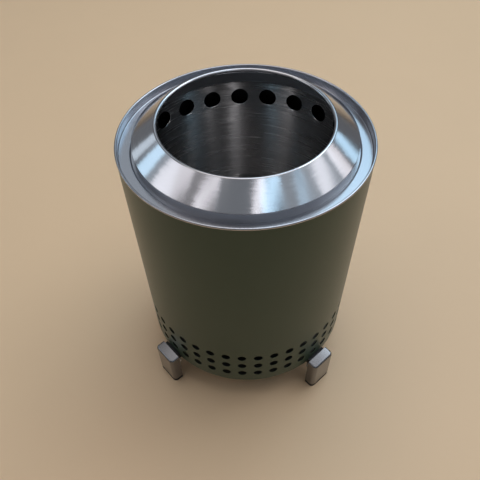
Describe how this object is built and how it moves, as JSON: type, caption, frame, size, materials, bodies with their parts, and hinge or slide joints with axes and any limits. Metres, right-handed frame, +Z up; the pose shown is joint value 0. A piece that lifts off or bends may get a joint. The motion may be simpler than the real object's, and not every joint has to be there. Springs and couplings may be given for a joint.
{
  "type": "smokeless fire pit",
  "caption": "Round double-walled tabletop fire pit with a lift-off conical flame ring, a lift-out pellet adapter and a footed stand.",
  "frame": {"origin": "on the table, under the middle of the drum", "axes": "+Z up along the drum's axis; the front faces -Y; the feet stand on the diagonals"},
  "size_m": [0.13, 0.13, 0.1745],
  "materials": {
    "drum_coat": "satin olive powder coat",
    "rim_steel": "brushed along the ring",
    "firebox_steel": "plain, dull",
    "base_steel": "plain",
    "flame_ring_steel": "polished, spun",
    "adapter_steel": "plain",
    "stand_steel": "plain",
    "foot_steel": "satin",
    "fastener_steel": "plain",
    "bumper_silicone": "matt",
    "sole_rubber": "matt"
  },
  "bodies": {
    "stand": {"stand_ring": "stand_steel", "foot_screws": "fastener_steel", "front_left_foot": "foot_steel", "front_left_sole": "sole_rubber", "front_left_bumper": "bumper_silicone", "front_right_foot": "foot_steel", "front_right_sole": "sole_rubber", "front_right_bumper": "bumper_silicone", "rear_left_foot": "foot_steel", "rear_left_sole": "sole_rubber", "rear_left_bumper": "bumper_silicone", "rear_right_foot": "foot_steel", "rear_right_sole": "sole_rubber", "rear_right_bumper": "bumper_silicone"},
    "drum": {"outer_wall": "drum_coat", "rim_collar": "rim_steel", "firebox_wall": "firebox_steel", "fuel_grate": "firebox_steel", "base_plate": "base_steel", "ash_tray": "base_steel", "tray_spacers": "base_steel", "tray_rivets": "fastener_steel", "front_centring_clip": "firebox_steel", "right_centring_clip": "firebox_steel", "rear_centring_clip": "firebox_steel", "left_centring_clip": "firebox_steel"},
    "flame_ring": {"flame_ring_cone": "flame_ring_steel", "flame_ring_skirt": "flame_ring_steel"},
    "pellet_adapter": {"pellet_pan": "adapter_steel", "air_tube": "adapter_steel", "air_tube_cap": "adapter_steel"}
  },
  "joints": [
    {"name": "drum_lift", "type": "slide", "parent": "stand", "child": "drum", "axis": [0, 0, 1], "range_m": [0, 0.06]},
    {"name": "flame_ring_lift", "type": "slide", "parent": "drum", "child": "flame_ring", "axis": [0, 0, 1], "range_m": [0, 0.06]},
    {"name": "pellet_adapter_lift", "type": "slide", "parent": "drum", "child": "pellet_adapter", "axis": [0, 0, 1], "range_m": [0, 0.085]}
  ]
}
